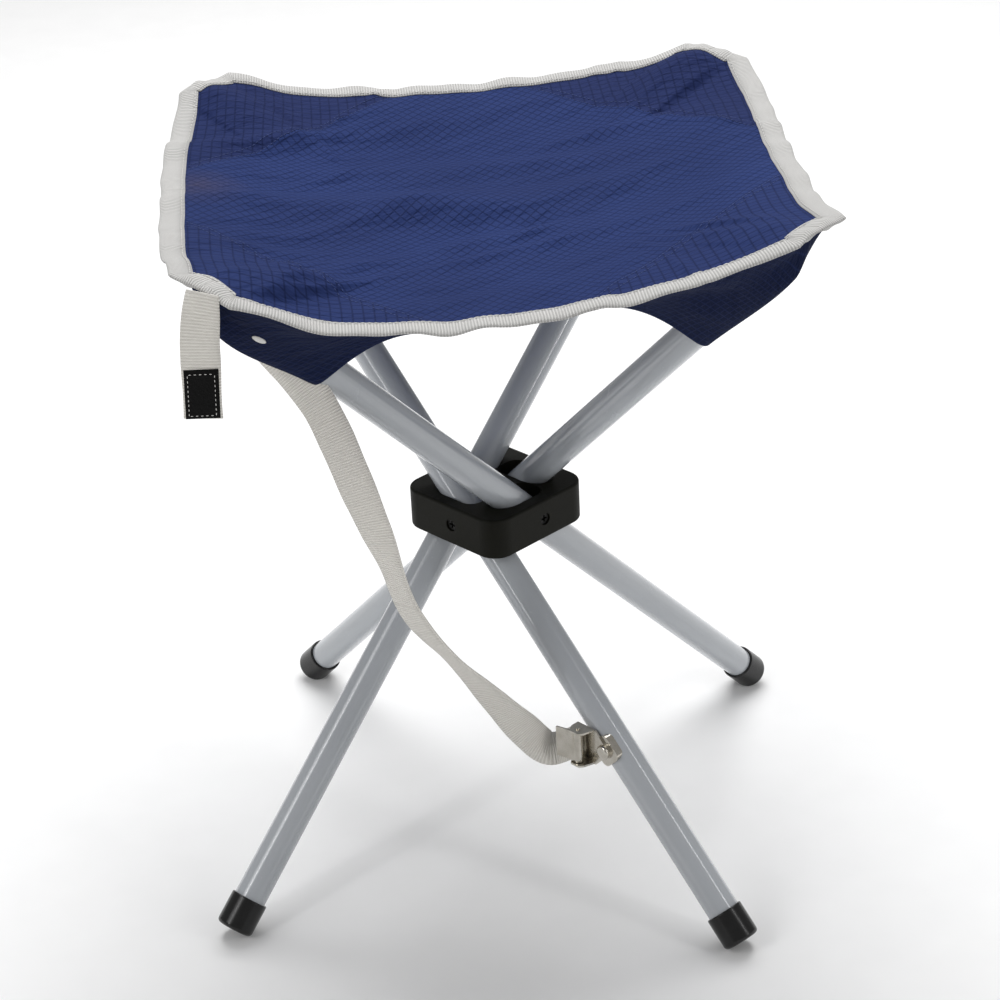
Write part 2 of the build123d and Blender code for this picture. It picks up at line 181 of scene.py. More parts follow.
def seat(a, b):
    """Points of the seat's upper face."""
    a, b = np.asarray(a, float), np.asarray(b, float)
    share_a, share_b = (np.clip(a, -1, 1) + 1) / 2, (np.clip(b, -1, 1) + 1) / 2
    along = {"front": a, "right": b, "back": a, "left": b}
    high = {name: along_edge(values, along[name]) for name, values in EDGE_HEIGHT.items()}
    bulge = {name: along_edge(values, along[name]) for name, values in EDGE_BULGE.items()}
    height = ((1 - share_b) * high["front"] + share_b * high["back"]
              + (1 - share_a) * high["left"] + share_a * high["right"])
    for sa, sb in CORNER_SIGNS.values():
        corner = EDGE_HEIGHT["front" if sb < 0 else "back"][0 if sa < 0 else -1] * MM
        height = height - (1 + sa * np.clip(a, -1, 1)) * (1 + sb * np.clip(b, -1, 1)) / 4 * corner
    height = height + CENTRE_LIFT * np.maximum(1 - a * a, 0) * np.maximum(1 - b * b, 0)
    out_a = share_a ** 4 * bulge["right"] - (1 - share_a) ** 4 * bulge["left"]
    out_b = share_b ** 4 * bulge["back"] - (1 - share_b) ** 4 * bulge["front"]
    x_y = (HALF * a + out_a)[..., None] * RIGHT + (HALF * b + out_b)[..., None] * BACK
    x, y = x_y[..., 0], x_y[..., 1]
    for number in LEG_TOPS:
        _, top, out, _, _ = leg(number)
        forward = x * top[0] + y * top[1] - TENT_RADIUS
        sideways = x * out[0] + y * out[1] - PIN_OFFSET
        slope = np.sqrt((TENT_SIDEWAYS * sideways) ** 2 + (TENT_FALL[number] * np.maximum(forward, 0)) ** 2
                        + (TENT_INWARD * np.minimum(forward, 0)) ** 2 + TENT_TIP ** 2)
        tent = TENT_TOP - slope - SHOULDER_FALL * np.maximum(np.abs(sideways) - SHOULDER, 0)
        height = TENT_BLEND * np.logaddexp(height / TENT_BLEND, tent / TENT_BLEND)
    height += creases(x, y)
    rim = np.maximum(np.abs(a), np.abs(b))
    pucker = np.clip((rim - PUCKER_START) / (1 - PUCKER_START), 0, 1) ** 2
    run = np.arctan2(b, a)
    height = height + pucker * (0.8 * np.sin(23 * run + 1.2) + 0.6 * np.sin(37 * run + 0.4)) * MM
    x_y[..., :2] *= (1 + pucker * 0.0014 * (np.sin(17 * run) + np.sin(29 * run + 2)))[..., None]
    return np.concatenate([x_y[..., :2], height[..., None]], -1)


def seat_normal(a, b):
    """Upward normals of the seat's upper face."""
    step = 0.006
    across = seat(a + step, b) - seat(a - step, b)
    back = seat(a, b + step) - seat(a, b - step)
    return unit(np.cross(across, back))


def rim_limit(t):
    """How far out a quadrant reaches at t, from -1 to 1 along its edge, short of 1 at the cut corners."""
    return np.minimum(1.0, (2 - CUT * math.sqrt(2) / HALF) / (1 + np.abs(t)))


def quadrant_point(name, s, t):
    """(a, b) at share s from the seat's centre to its rim, and t along the edge."""
    ea, eb, _, _ = QUADRANTS[name]
    reach = s * rim_limit(t)
    along = (-eb, ea)
    return reach * (ea + t * along[0]), reach * (eb + t * along[1])


# ---------------------------------------------------------------- mesh helpers

def distances(line):
    """How far along a line each of its points is."""
    return np.concatenate([[0], np.cumsum(np.linalg.norm(np.diff(line, axis=0), axis=1))])


def points_at(places, run, line):
    """Points of a line at distances along it."""
    return np.stack([np.interp(places, run, line[:, k]) for k in range(3)], -1)


def make_mesh(name, points, faces, material, uvs=None, normals=None):
    """Smooth-shaded object from points, faces and, where given, a UV and a normal for each point."""
    mesh = bpy.data.meshes.new(name)
    mesh.from_pydata([tuple(p) for p in points], [], [tuple(int(i) for i in f) for f in faces])
    if uvs is not None:
        layer = mesh.uv_layers.new(name="UVMap")
        loops = np.zeros(len(mesh.loops), np.int32)
        mesh.loops.foreach_get("vertex_index", loops)
        layer.data.foreach_set("uv", np.asarray(uvs, np.float32)[loops].ravel())
    mesh.validate()
    mesh.update()
    mesh.polygons.foreach_set("use_smooth", [True] * len(mesh.polygons))
    if normals is not None:
        mesh.normals_split_custom_set_from_vertices([tuple(n) for n in normals])
    mesh.materials.append(material)
    obj = bpy.data.objects.new(name, mesh)
    bpy.context.scene.collection.objects.link(obj)
    return obj


def grid_faces(rows, columns, start=0, flip=False, wrap=False):
    """Quads over a grid of rows x columns points, numbered row by row."""
    i, j = np.meshgrid(np.arange(rows - 1), np.arange(columns if wrap else columns - 1), indexing="ij")
    k = (j + 1) % columns
    quads = np.stack([i * columns + j, i * columns + k, (i + 1) * columns + k, (i + 1) * columns + j], -1)
    quads = quads.reshape(-1, 4) + start
    return quads[:, ::-1] if flip else quads


def closed_faces(rows, columns):
    """Faces of a closed tube: rings of points, and a face over each end."""
    faces = [tuple(quad) for quad in grid_faces(rows, columns, wrap=True)]
    last = (rows - 1) * columns
    return faces + [tuple(range(columns)), tuple(last + k for k in range(columns - 1, -1, -1))]


def shell(name, grid, normal, thickness, uv, material):
    """Closed thin sheet below a grid of points."""
    rows, columns = grid.shape[:2]
    count = rows * columns
    points = np.concatenate([grid.reshape(-1, 3), (grid - normal * thickness).reshape(-1, 3)])
    faces = [grid_faces(rows, columns), grid_faces(rows, columns, count, flip=True)]
    index = np.arange(count).reshape(rows, columns)
    ring = np.concatenate([index[0], index[1:, -1], index[-1, -2::-1], index[-2:0:-1, 0]])
    after = np.roll(ring, -1)
    faces.append(np.stack([after, ring, ring + count, after + count], -1))
    faces = np.concatenate(faces)
    winding = np.cross(np.gradient(grid, axis=1), np.gradient(grid, axis=0))
    if np.sum(winding * normal) < 0:
        faces = faces[:, ::-1]
    uvs = np.concatenate([uv.reshape(-1, 2)] * 2)
    normals = np.concatenate([normal.reshape(-1, 3), -normal.reshape(-1, 3)])
    return make_mesh(name, points, faces, material, uvs, normals)


def weld(obj):
    """Joins points at one place and removes faces with no area."""
    work = bmesh.new()
    work.from_mesh(obj.data)
    bmesh.ops.remove_doubles(work, verts=work.verts, dist=1e-6)
    bmesh.ops.dissolve_degenerate(work, edges=work.edges, dist=1e-7)
    bmesh.ops.recalc_face_normals(work, faces=work.faces)
    work.to_mesh(obj.data)
    work.free()
    obj.data.polygons.foreach_set("use_smooth", [True] * len(obj.data.polygons))
    obj.data.update()
    return obj


def stitches(name, line, normal, material, pitch=3.4 * MM, length=2.5 * MM, radius=0.30 * MM, lift=0.12 * MM):
    """A row of thread stitches lying along a line of points."""
    line, normal = np.asarray(line), unit(np.asarray(normal))
    run = distances(line)
    sides = 6
    angles = 2 * math.pi * np.arange(sides)[:, None] / sides
    points, faces = [], []
    for centre in np.arange(pitch / 2, run[-1], pitch):
        spine = points_at(centre + length * np.array([-0.5, 0, 0.5]), run, line)
        n = unit(points_at(centre, run, normal))
        side = np.cross(n, unit(spine[2] - spine[0]))
        base = len(points)
        for place, size in zip(spine, (0.55, 1.0, 0.55)):
            ring = np.cos(angles) * side + 0.8 * np.sin(angles) * n
            points.extend(place + n * lift + radius * size * ring)
        faces += [tuple(quad) for quad in grid_faces(3, sides, base, wrap=True)]
        faces.append(tuple(base + k for k in range(sides - 1, -1, -1)))
        faces.append(tuple(base + 2 * sides + k for k in range(sides)))
    return make_mesh(name, points, faces, material)


def join(objects, name):
    """One object from several."""
    bpy.ops.object.select_all(action="DESELECT")
    for obj in objects:
        obj.select_set(True)
    bpy.context.view_layer.objects.active = objects[0]
    bpy.ops.object.join()
    objects[0].name = name
    return objects[0]


# ---------------------------------------------------------------- materials

class Nodes:
    """Short hand for building a material's node tree."""

    def __init__(self, name):
        self.material = bpy.data.materials.new(name)
        self.material.use_nodes = True
        self.tree = self.material.node_tree
        self.shader = self.tree.nodes["Principled BSDF"]

    def add(self, kind, **settings):
        node = self.tree.nodes.new(kind)
        for key, value in settings.items():
            setattr(node, key, value)
        return node

    def link(self, source, target):
        self.tree.links.new(source, target)

    def set(self, **values):
        for key, value in values.items():
            self.shader.inputs[key.replace("_", " ")].default_value = value

    def place(self, kind="Object"):
        """The kind of texture coordinate, Object or UV."""
        return self.add("ShaderNodeTexCoord").outputs[kind]

    def math(self, operation, *values, clamp=False):
        node = self.add("ShaderNodeMath", operation=operation, use_clamp=clamp)
        for index, value in enumerate(values):
            if isinstance(value, (int, float)):
                node.inputs[index].default_value = value
            else:
                self.link(value, node.inputs[index])
        return node.outputs[0]

    def noise(self, place, scale, detail=4.0, roughness=0.55, stretch=None):
        if stretch is not None:
            mapping = self.add("ShaderNodeMapping")
            self.link(place, mapping.inputs[0])
            mapping.inputs["Scale"].default_value = stretch
            place = mapping.outputs[0]
        node = self.add("ShaderNodeTexNoise")
        self.link(place, node.inputs["Vector"])
        node.inputs["Scale"].default_value = scale
        node.inputs["Detail"].default_value = detail
        node.inputs["Roughness"].default_value = roughness
        return node.outputs["Fac"]

    def ramp(self, value, stops):
        node = self.add("ShaderNodeValToRGB")
        self.link(value, node.inputs[0])
        ramp = node.color_ramp
        while len(ramp.elements) < len(stops):
            ramp.elements.new(0.5)
        for element, (place, colour) in zip(ramp.elements, stops):
            element.position = place
            element.color = (*colour, 1)
        return node.outputs[0]

    def mix(self, share, first, second):
        node = self.add("ShaderNodeMix", data_type="RGBA")
        for socket, value in ((node.inputs[0], share), (node.inputs[6], first), (node.inputs[7], second)):
            if isinstance(value, (int, float)):
                socket.default_value = value
            elif isinstance(value, tuple):
                socket.default_value = (*value, 1)
            else:
                self.link(value, socket)
        return node.outputs[2]

    def bump(self, height, strength, distance, before=None):
        node = self.add("ShaderNodeBump")
        node.inputs["Strength"].default_value = strength
        node.inputs["Distance"].default_value = distance
        self.link(height, node.inputs["Height"])
        if before is not None:
            self.link(before, node.inputs["Normal"])
        return node.outputs[0]

    def stripes(self, coordinate, period, width):
        """1 on thin lines at every period of a coordinate, 0 between them."""
        cycle = self.math("FRACT", self.math("DIVIDE", coordinate, period))
        off = self.math("ABSOLUTE", self.math("SUBTRACT", cycle, 0.5))
        line = self.math("MAXIMUM", self.math("SUBTRACT", off, 0.5 - width), 0.0)
        return self.math("SMOOTH_MIN", 1.0, self.math("MULTIPLY", line, 1 / width))

    def split(self, place):
        node = self.add("ShaderNodeSeparateXYZ")
        self.link(place, node.inputs[0])
        return node.outputs

    def turned(self, place, angle):
        node = self.add("ShaderNodeMapping")
        self.link(place, node.inputs[0])
        node.inputs["Rotation"].default_value = (0, 0, angle)
        return node.outputs[0]

    def finish(self, colour=None, rough=None, normal=None):
        if colour is not None:
            self.link(colour, self.shader.inputs["Base Color"])
        if rough is not None:
            self.link(rough, self.shader.inputs["Roughness"])
        if normal is not None:
            self.link(normal, self.shader.inputs["Normal"])
        return self.material


RIPSTOP_GRID = 4.6 * MM                 # from one heavier thread to the next
RIPSTOP_WEAVE = 0.55 * MM
LINE_SHARE = 0.13                       # of the grid that a heavier thread takes
STAIN_PLACE, STAIN_SIZE = (-158 * MM, 12 * MM, 0), 34 * MM


def ripstop(name, angle, base, thread, light, shade=1.0, patch=None):
    """Ripstop cloth: fine weave, a grid of heavier threads, soft fading. UVs are metres on the flat cloth.

    Beyond the patch distance from the middle, along both edges together, a second layer has its threads along
    the edges, and painted shade darkens the cloth there, most of all at the back. There is a faint stain at
    the left.
    """
    n = Nodes(name)
    flat = n.place("UV")
    uv = n.turned(flat, angle)
    u, v, _ = n.split(uv)
    line = n.math("MAXIMUM", n.stripes(u, RIPSTOP_GRID, LINE_SHARE), n.stripes(v, RIPSTOP_GRID, LINE_SHARE))
    cloud = n.noise(flat, 9, 5, 0.6)
    streak = n.noise(uv, 1, 3, 0.6, stretch=(60, 900, 1))
    # A shade factor below 1 darkens the whole cloth as painted shade.
    colour = n.ramp(cloud, [(0.30, tuple(c * shade for c in base)), (0.72, tuple(c * shade for c in light))])
    if patch:
        x, y, _ = n.split(flat)
        reach = n.math("ADD", n.math("ABSOLUTE", x), n.math("ABSOLUTE", y))
        corner = n.math("GREATER_THAN", reach, patch)
        wide = RIPSTOP_GRID * 1.25
        straight = n.math("MAXIMUM", n.stripes(x, wide, LINE_SHARE), n.stripes(y, wide, LINE_SHARE))
        line = n.math("ADD", n.math("MULTIPLY", line, n.math("SUBTRACT", 1.0, corner)),
                      n.math("MULTIPLY", straight, corner))
        # Painted shade on the corner patches: 0.18 towards the dark colour at the front, 0.55 at the back.
        darker = n.math("ADD", 0.18, n.math("MULTIPLY", n.math("GREATER_THAN", y, 0.0), 0.37))
        painted_patch_shade = (base[0] * 0.85, base[1] * 0.62, base[2] * 0.60)
        colour = n.mix(n.math("MULTIPLY", corner, darker), colour, painted_patch_shade)
        stain = n.add("ShaderNodeVectorMath", operation="DISTANCE")
        n.link(flat, stain.inputs[0])
        stain.inputs[1].default_value = STAIN_PLACE
        reach = n.math("MULTIPLY", stain.outputs["Value"], 1 / STAIN_SIZE)
        blot = n.math("MULTIPLY", n.math("SUBTRACT", 1.0, reach, clamp=True), n.noise(flat, 120, 5, 0.7))
        colour = n.mix(n.math("MULTIPLY", blot, 0.8, clamp=True), colour, (0.085, 0.060, 0.055))
    waves = [n.math("SINE", n.math("MULTIPLY", axis, 2 * math.pi / RIPSTOP_WEAVE)) for axis in (u, v)]
    fine = n.math("MULTIPLY", *waves)
    colour = n.mix(n.math("MULTIPLY", streak, 0.30), colour, tuple(c * 0.72 * shade for c in base))
    colour = n.mix(n.math("MULTIPLY", line, 0.80), colour, thread)
    rough = n.math("ADD", 0.66, n.math("MULTIPLY", cloud, 0.2))
    normal = n.bump(fine, 0.25, 0.00008)
    normal = n.bump(line, 0.5, 0.00022, normal)
    normal = n.bump(n.noise(flat, 140, 3, 0.6), 0.35, 0.0006, normal)
    crumple = n.noise(n.turned(flat, math.radians(-24)), 1, 4, 0.6, stretch=(16, 62, 1))
    normal = n.bump(crumple, 0.75, 0.0075, normal)
    n.set(Specular_IOR_Level=0.05)
    return n.finish(colour, rough, normal)


RIB, WARP = 1.6 * MM, 0.8 * MM          # pitch of the woven ribs, and of the threads along a strap


def woven(name, base, dark, rib_depth):
    """Ribbed off-white webbing or tape, with painted shade in the grooves between its ribs. UV is metres: u
    across the strap and v along it.
    """
    n = Nodes(name)
    uv = n.place("UV")
    u, v, _ = n.split(uv)
    ribs = n.math("SINE", n.math("MULTIPLY", v, 2 * math.pi / RIB))
    ends = n.math("SINE", n.math("MULTIPLY", u, 2 * math.pi / WARP))
    checks = n.math("MULTIPLY", n.math("MULTIPLY", ends, ribs), 0.45)
    weave = n.math("ADD", n.math("MULTIPLY", ribs, 0.7), checks)
    share = n.math("MULTIPLY_ADD", weave, 0.5, 0.5)
    grime = n.noise(uv, 45, 5, 0.65)
    fuzz = n.noise(uv, 1600, 2, 0.6)
    # The dark colour follows the weave's low places: painted shade in the rib grooves.
    colour = n.mix(n.math("SMOOTH_MAX", share, 0.0), dark, base)
    colour = n.mix(n.math("MULTIPLY", grime, 0.25), colour, tuple(c * 0.80 for c in base))
    colour = n.mix(n.math("MULTIPLY", fuzz, 0.18), colour, (0.93, 0.93, 0.91))
    rough = n.math("ADD", 0.70, n.math("MULTIPLY", fuzz, 0.2))
    normal = n.bump(weave, 0.6, rib_depth)
    normal = n.bump(fuzz, 0.3, 0.0002, normal)
    n.set(Specular_IOR_Level=0.25, Sheen_Weight=0.25, Sheen_Roughness=0.5)
    return n.finish(colour, rough, normal)


def painted_tube():
    """Glossy pale grey-blue enamel with faint orange peel, scuffs and dust."""
    n = Nodes("enamel")
    place = n.place()
    cloud = n.noise(place, 7, 4, 0.5)
    scuff = n.ramp(n.noise(place, 55, 8, 0.72, stretch=(1, 1, 0.35)), [(0.60, (0, 0, 0)), (0.72, (1, 1, 1))])
    speck = n.ramp(n.noise(place, 420, 2, 0.5), [(0.70, (0, 0, 0)), (0.76, (1, 1, 1))])
    colour = n.ramp(cloud, [(0.25, (0.37, 0.39, 0.415)), (0.8, (0.43, 0.45, 0.475))])
    colour = n.mix(n.math("MULTIPLY", scuff, 0.16), colour, (0.22, 0.25, 0.30))
    colour = n.mix(n.math("MULTIPLY", speck, 0.18), colour, (0.62, 0.64, 0.66))
    rough = n.math("ADD", 0.20, n.math("MULTIPLY", scuff, 0.18))
    normal = n.bump(n.noise(place, 260, 2, 0.4), 0.06, 0.0004)
    n.set(Specular_IOR_Level=0.55, Coat_Weight=0.6, Coat_Roughness=0.08)
    return n.finish(colour, rough, normal)


def moulded(name, base, light, roughness, grain, depth, speckle, shine):
    """Black moulded plastic with a fine grain and paler rubbed patches."""
    n = Nodes(name)
    place = n.place()
    rub = n.noise(place, 38, 6, 0.68)
    fine = n.noise(place, grain, 3, 0.6)
    colour = n.ramp(rub, [(0.35, base), (0.80, light)])
    colour = n.mix(n.math("MULTIPLY", fine, speckle), colour, tuple(c * 2.2 for c in light))
    rough = n.math("ADD", roughness, n.math("MULTIPLY", rub, 0.18))
    normal = n.bump(fine, 0.4, depth)
    n.set(Specular_IOR_Level=shine)
    return n.finish(colour, rough, normal)


def plated(name, base, dark, roughness):
    """Metallic steel with tarnish and fine scratches: nickel-plated for the buckle and its bracket,
    near-black for the screws.
    """
    n = Nodes(name)
    place = n.place()
    tarnish = n.noise(place, 130, 4, 0.5)
    scratch = n.noise(place, 60, 5, 0.7, stretch=(1, 9, 1))
    colour = n.ramp(tarnish, [(0.35, base), (0.75, dark)])
    rough = n.math("ADD", roughness, n.math("MULTIPLY", scratch, 0.22))
    normal = n.bump(scratch, 0.04, 0.0001)
    n.set(Metallic=1.0)
    return n.finish(colour, rough, normal)


def hook_tape():
    """Black hook tape: a field of tiny stiff hooks."""
    n = Nodes("hook_tape")
    uv = n.place("UV")
    cell = n.add("ShaderNodeTexVoronoi")
    n.link(uv, cell.inputs["Vector"])
    cell.inputs["Scale"].default_value = 900
    lint = n.ramp(n.noise(uv, 260, 4, 0.7), [(0.66, (0, 0, 0)), (0.74, (1, 1, 1))])
    colour = n.mix(n.math("MULTIPLY", lint, 0.10), (0.004, 0.004, 0.004), (0.16, 0.15, 0.14))
    normal = n.bump(cell.outputs["Distance"], 0.9, 0.0006)
    n.set(Specular_IOR_Level=0.12)
    return n.finish(colour, n.math("ADD", 0.75, n.math("MULTIPLY", lint, 0.1)), normal)


def thread(name, colour):
    """Twisted sewing thread, with painted shade in the grooves of its twist."""
    n = Nodes(name)
    twist = n.noise(n.place(), 2500, 2, 0.5, stretch=(1, 1, 3))
    # Darker where the twist dents the thread: painted shade in its grooves.
    shade = n.ramp(twist, [(0.3, tuple(c * 0.7 for c in colour)), (0.7, colour)])
    n.set(Specular_IOR_Level=0.3)
    return n.finish(shade, n.math("ADD", 0.6, n.math("MULTIPLY", twist, 0.2)), n.bump(twist, 0.4, 0.0001))


SEAM = 2 * HALF - 145 * MM               # from the seat's middle to a corner patch, along both edges together
NAVY = (0.016, 0.029, 0.108)
NAVY_LIGHT = (0.025, 0.044, 0.150)
MATERIALS = {
    "cloth": ripstop("ripstop", math.radians(45), NAVY, (0.006, 0.011, 0.045), NAVY_LIGHT, patch=SEAM),
    # The pockets hang in the seat's shadow: their cloth is scaled down to 0.29 of the seat's as painted
    # shade.
    "pocket": ripstop("ripstop_pocket_painted_shade", 0.0, NAVY, (0.012, 0.020, 0.07), NAVY_LIGHT, shade=0.29),
    # The darker second colour of each woven material is painted shade for its rib grooves.
    "tape": woven("edge_tape", (0.68, 0.67, 0.655), (0.24, 0.235, 0.225), rib_depth=0.6 * MM),
    "webbing": woven("webbing", (0.92, 0.89, 0.83), (0.60, 0.57, 0.51), rib_depth=0.7 * MM),
    "enamel": painted_tube(),
    "hub": moulded("hub_plastic", (0.005, 0.005, 0.003), (0.009, 0.009, 0.006), roughness=0.48, grain=900,
                   depth=0.3 * MM, speckle=0.08, shine=0.12),
    "cap": moulded("cap_plastic", (0.005, 0.005, 0.005), (0.010, 0.010, 0.010), roughness=0.15, grain=300,
                   depth=0.1 * MM, speckle=0.1, shine=0.35),
    "plug": moulded("plug_plastic", (0.02, 0.02, 0.02), (0.03, 0.03, 0.03), roughness=0.5, grain=500,
                    depth=0.2 * MM, speckle=0.25, shine=0.45),
    "nickel": plated("nickel", (0.62, 0.59, 0.53), (0.47, 0.44, 0.38), 0.10),
    # The screws sit deep in the hub's holes; their near-black colour is partly painted shade of those holes.
    "screw": plated("dark_steel", (0.035, 0.035, 0.035), (0.02, 0.02, 0.018), 0.45),
    "hook": hook_tape(),
    "white_thread": thread("white_thread", (0.80, 0.79, 0.76)),
    "blue_thread": thread("blue_thread", (0.045, 0.07, 0.21)),
}


def paint(node, material):
    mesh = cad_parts[node].data
    mesh.materials.clear()
    mesh.materials.append(MATERIALS[material])


def dress_frame():
    """Materials of the CAD nodes that show as they are."""
    for number in LEG_TOPS:
        paint(f"leg_tube_{number}", "enamel")
        paint(f"foot_cap_{number}", "cap")
        paint(f"top_plug_{number}", "plug")
    paint("hub_block", "hub")
    paint("pivot_screws", "screw")
    for node in ("strap_bracket", "bracket_rivet", "buckle_frame", "lever_pin", "buckle_lever"):
        paint(node, "nickel")


# ---------------------------------------------------------------- seat pieces

ROWS, COLUMNS = 58, 104
SEAM_INSET = 1.8 * MM    # from the tape's inner edge


def gather(piece, name):
    """Rides a piece on its seat panel, with a mesh of its own."""
    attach(piece, f"seat_{name}")
    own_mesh(piece)


def make_panel(name):
    """A quarter of the seat cloth, from its middle to one edge."""
    s = np.linspace(0, 1, ROWS) ** 0.85
    t = np.linspace(-1, 1, COLUMNS)
    s, t = np.meshgrid(s, t, indexing="ij")
    a, b = quadrant_point(name, np.maximum(s, 1e-4), t)
    grid, normal = seat(a, b), seat_normal(a, b)
    uv = np.stack([a * HALF, b * HALF], -1)
    panel = shell(f"seat_cloth_{name}", grid, normal, CLOTH, uv, MATERIALS["cloth"])
    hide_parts(f"seat_panel_{name}")
    gather(panel, name)


def rim_path(name, inset, t):
    """(a, b) at t along a quadrant's rim, drawn in by a distance."""
    a, b = quadrant_point(name, np.ones_like(t), t)
    ea, eb, _, _ = QUADRANTS[name]
    soften = np.clip((np.abs(t) - 0.80) / 0.08, 0, 1)
    turn = np.sign(t) * math.radians(45) * soften
    along = (-eb, ea)
    out_a = ea * np.cos(turn) + along[0] * np.sin(turn)
    out_b = eb * np.cos(turn) + along[1] * np.sin(turn)
    return a - out_a * inset / HALF, b - out_b * inset / HALF


def make_binding(name):
    """Edge tape folded over the cloth's rim, bunched round the cut corners, with its seam."""
    count = 240
    t = np.linspace(-1, 1, count)
    paths = [rim_path(name, TAPE_WIDTH * share, t) for share in (0, 0.5, 1)]
    edge, half, inner = [seat(a, b) for a, b in paths]
    normal, half_normal, inner_normal = [seat_normal(a, b) for a, b in paths]
    outward = unit(edge - inner)
    run = distances(edge)
    bunch = np.exp(-((np.abs(t) - 0.90) / 0.07) ** 2) * (1 + np.sin(run / (3.2 * MM)))
    swell = (0.3 + 0.3 * np.sin(run / (9 * MM)) * np.sin(run / (23 * MM) + 1) + 0.8 * bunch)[:, None]
    near = edge - outward * 1.2 * MM
    section = [
        inner + inner_normal * 0.62 * MM,
        half + half_normal * (0.80 + swell) * MM,
        near + normal * (0.85 + swell) * MM,
        edge + (normal * 0.45 + outward * 0.9) * MM,
        edge + (normal * -0.35 + outward * 1.5) * MM,
        edge + (normal * -1.15 + outward * 0.9) * MM,
        near - normal * (1.55 + swell) * MM,
        half - half_normal * (1.50 + swell) * MM,
        inner - inner_normal * 1.32 * MM,
        inner - inner_normal * 0.82 * MM,
        half - half_normal * (0.98 + swell) * MM,
        near - normal * (1.05 + swell) * MM,
        edge + (normal * -0.85 + outward * 0.5) * MM,
        edge + (normal * -0.35 + outward * 0.95) * MM,
        edge + (normal * 0.10 + outward * 0.5) * MM,
        near + normal * (0.35 + swell) * MM,
        half + half_normal * (0.28 + swell) * MM,
        inner + inner_normal * 0.12 * MM,
    ]
    grid = np.stack(section, 1)
    width = distances(grid[count // 2])
    uv = np.stack(np.broadcast_arrays(width[None, :], run[:, None]), -1)
    faces = closed_faces(*grid.shape[:2])
    tape = make_mesh(f"edge_tape_{name}", grid.reshape(-1, 3), faces, MATERIALS["tape"], uv.reshape(-1, 2))
    sewn = rim_path(name, TAPE_WIDTH - SEAM_INSET, t)
    sewn_normal = seat_normal(*sewn)
    seam = stitches("seam", seat(*sewn) + sewn_normal * 1.15 * MM, sewn_normal, MATERIALS["white_thread"])
    tape = join([tape, seam], f"edge_tape_{name}")
    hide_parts(f"seat_binding_{name}")
    gather(tape, name)


def make_corner_seams(name):
    """The double rows of stitching across the two corners that this quadrant shares."""
    rows = []
    ea, eb, _, _ = QUADRANTS[name]
    for side in (-1, 1):
        for offset in (0.0, 4.5 * MM):
            reach = (SEAM + offset * math.sqrt(2)) / HALF
            t = side * np.linspace(max(reach - 1, 0.02), 1, 60)
            s = reach / (1 + np.abs(t))
            a, b = s * (ea - t * eb), s * (eb + t * ea)
            rows.append(stitches("row", seat(a, b), seat_normal(a, b), MATERIALS["blue_thread"],
                                 pitch=3.0 * MM, length=2.2 * MM, radius=0.24 * MM))
    seams = join(rows, f"corner_seams_{name}")
    gather(seams, name)


# ---------------------------------------------------------------- corner pockets

POCKET_REACH = 142 * MM                 # from a corner of the seat, along both its edges
POCKET_SAG = {1: 8 * MM, 2: 6 * MM, 3: 6 * MM, 4: 4 * MM}
LEG_END, MOUTH_PLACE = 301 * MM, 204 * MM     # the pocket's two ends, from the pin along the leg
SLEEVE = 11.6 * MM                      # half width of the part that wraps the tube
POCKET_ROWS, WING_COLUMNS, SLEEVE_COLUMNS = 44, 30, 14
WING_ROUND = 0.08                       # share of a wing's span that rounds its bottom
WING_STEEPNESS = 1.9                    # how much sooner a wing climbs than a straight one
SEWN_INSET, SEWN_DROP = 4 * MM, 3.2 * MM      # of the pocket's seams, in from the seat's edge and down
CORNER_WIDTH = CUT * math.sqrt(2)       # that a cut corner takes from each edge
EYELET_WING = (1, 1)                    # leg, and side of it towards the front
EYELET_PLACE = (16, 3)                  # row and column of the wing's grid
EYELET_SIZE = (4.8 * MM, 2.4 * MM, 0.6 * MM)  # half its length, width and height


def pocket_lines(number):
    """The pocket's line under the leg and its two lines along the seat's edges, from corner to mouth."""
    pin, _, _, up, below = leg(number)
    sa, sb = CORNER_SIGNS[number]
    u = np.linspace(0, 1, POCKET_ROWS)
    reach = (CORNER_WIDTH + (POCKET_REACH - CORNER_WIDTH) * u) / HALF
    inset = SEWN_INSET / HALF
    rim = np.full_like(u, 1 - inset)
    along_a = seat(sa * (1 - reach), sb * rim) - UP * SEWN_DROP
    along_b = seat(sa * rim, sb * (1 - reach)) - UP * SEWN_DROP
    corner = 1 - CORNER_WIDTH / HALF / 2 - inset
    tip = seat(sa * corner, sb * corner) - UP * SEWN_DROP
    place = LEG_END + (MOUTH_PLACE - LEG_END) * u
    depth = TUBE_RADIUS + 1.5 * MM + POCKET_SAG[number] * np.sin(math.pi * u ** 0.6) ** 1.3
    bottom = pin + up * place[:, None] + below * depth[:, None]
    start = np.clip(u / 0.16, 0, 1)[:, None]
    start = start * start * (3 - 2 * start)
    return tip * (1 - start) + bottom * start, along_a, along_b


